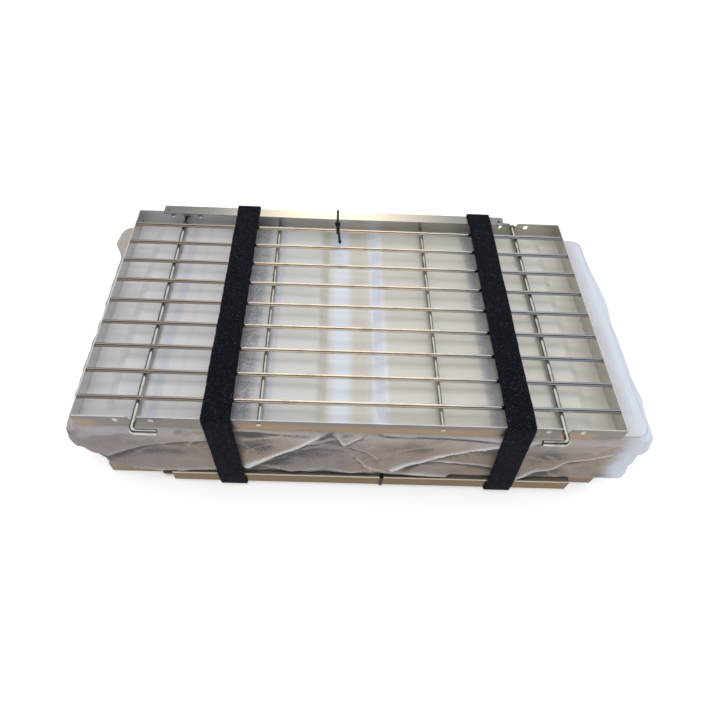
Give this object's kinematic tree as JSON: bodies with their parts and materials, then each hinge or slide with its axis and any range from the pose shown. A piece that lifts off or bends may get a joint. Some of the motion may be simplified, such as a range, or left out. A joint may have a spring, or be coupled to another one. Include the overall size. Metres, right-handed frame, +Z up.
{
  "type": "folded portable stove bundle",
  "caption": "Folding stove packed flat: stamped wire-grid side racks clasp a bagged folded firebox, held by sliding hook-and-loop straps and tied angle strips.",
  "frame": {"origin": "middle of the whole footprint, on the ground that the straps rest on", "axes": "+X along the racks to the viewer's right, +Y to the rear, +Z up"},
  "size_m": [0.498, 0.2732, 0.1044],
  "materials": {
    "rack_sheet": "brushed titanium sheet, lightly reflective",
    "strip_sheet": "bright brushed titanium sheet",
    "firebox_sheet": "plain rolled titanium sheet",
    "bright_wire": "bright drawn wire",
    "hook_wire": "bright drawn wire",
    "strap_loop_webbing": "black fuzzy loop webbing",
    "strap_hook_tape": "black hook tape",
    "tie_plastic": "black plastic tie",
    "non_woven_fabric": "thin white spun-bonded non-woven fabric"
  },
  "bodies": {
    "pack": {"air_inlet_slide": "firebox_sheet", "back_panel": "firebox_sheet", "cook_plate_lid": "firebox_sheet", "door_hinge_pin": "firebox_sheet", "door_latch": "firebox_sheet", "fire_grate": "firebox_sheet", "firebox_base_pan": "firebox_sheet", "firebox_door": "firebox_sheet", "firebox_top_pan": "firebox_sheet", "flue_collar": "firebox_sheet", "front_angle_strip": "strip_sheet", "front_left_leg": "firebox_sheet", "front_panel": "firebox_sheet", "front_right_leg": "firebox_sheet", "front_strip_tie": "tie_plastic", "left_panel_hinge_pin": "firebox_sheet", "left_side_panel": "firebox_sheet", "lower_rack_left_cross_wire": "bright_wire", "lower_rack_right_cross_wire": "bright_wire", "lower_rack_rod_1": "bright_wire", "lower_rack_rod_2": "bright_wire", "lower_rack_rod_3": "bright_wire", "lower_rack_rod_4": "bright_wire", "lower_rack_rod_5": "bright_wire", "lower_rack_rod_6": "bright_wire", "lower_rack_rod_7": "bright_wire", "lower_rack_rod_8": "bright_wire", "lower_rack_rod_9": "bright_wire", "lower_rack_tray": "rack_sheet", "rear_angle_strip": "strip_sheet", "rear_left_leg": "firebox_sheet", "rear_right_leg": "firebox_sheet", "rear_strip_tie": "tie_plastic", "right_panel_hinge_pin": "firebox_sheet", "right_side_panel": "firebox_sheet", "storage_bag": "non_woven_fabric", "upper_rack_left_cross_wire": "bright_wire", "upper_rack_right_cross_wire": "bright_wire", "upper_rack_rod_1": "bright_wire", "upper_rack_rod_2": "bright_wire", "upper_rack_rod_3": "bright_wire", "upper_rack_rod_4": "bright_wire", "upper_rack_rod_5": "bright_wire", "upper_rack_rod_6": "bright_wire", "upper_rack_rod_7": "bright_wire", "upper_rack_rod_8": "bright_wire", "upper_rack_rod_9": "bright_wire", "upper_rack_tray": "rack_sheet"},
    "upper_left_hook": {"upper_rack_left_hook": "hook_wire"},
    "upper_right_hook": {"upper_rack_right_hook": "hook_wire"},
    "lower_left_hook": {"lower_rack_left_hook": "hook_wire"},
    "lower_right_hook": {"lower_rack_right_hook": "hook_wire"},
    "left_strap": {"left_strap_band": "strap_loop_webbing", "left_strap_hook_tape": "strap_hook_tape"},
    "right_strap": {"right_strap_band": "strap_loop_webbing", "right_strap_hook_tape": "strap_hook_tape"}
  },
  "joints": [
    {"name": "upper_left_hook_turn", "type": "hinge", "parent": "pack", "child": "upper_left_hook", "pos_m": [-0.185, 0.0021, 0.093], "axis": [0, -1, 0], "continuous": true},
    {"name": "upper_right_hook_turn", "type": "hinge", "parent": "pack", "child": "upper_right_hook", "pos_m": [0.167, 0.0021, 0.093], "axis": [0, 1, 0], "continuous": true},
    {"name": "lower_left_hook_turn", "type": "hinge", "parent": "pack", "child": "lower_left_hook", "pos_m": [-0.1777, -0.0009, 0.0096], "axis": [0, -1, 0], "range_deg": [-19, 20]},
    {"name": "lower_right_hook_turn", "type": "hinge", "parent": "pack", "child": "lower_right_hook", "pos_m": [0.1743, -0.0009, 0.0096], "axis": [0, 1, 0], "range_deg": [-19, 20]},
    {"name": "left_strap_slide", "type": "slide", "parent": "pack", "child": "left_strap", "axis": [1, 0, 0], "range_m": [-0.025, 0.06]},
    {"name": "right_strap_slide", "type": "slide", "parent": "pack", "child": "right_strap", "axis": [1, 0, 0], "range_m": [-0.085, 0.003]}
  ]
}
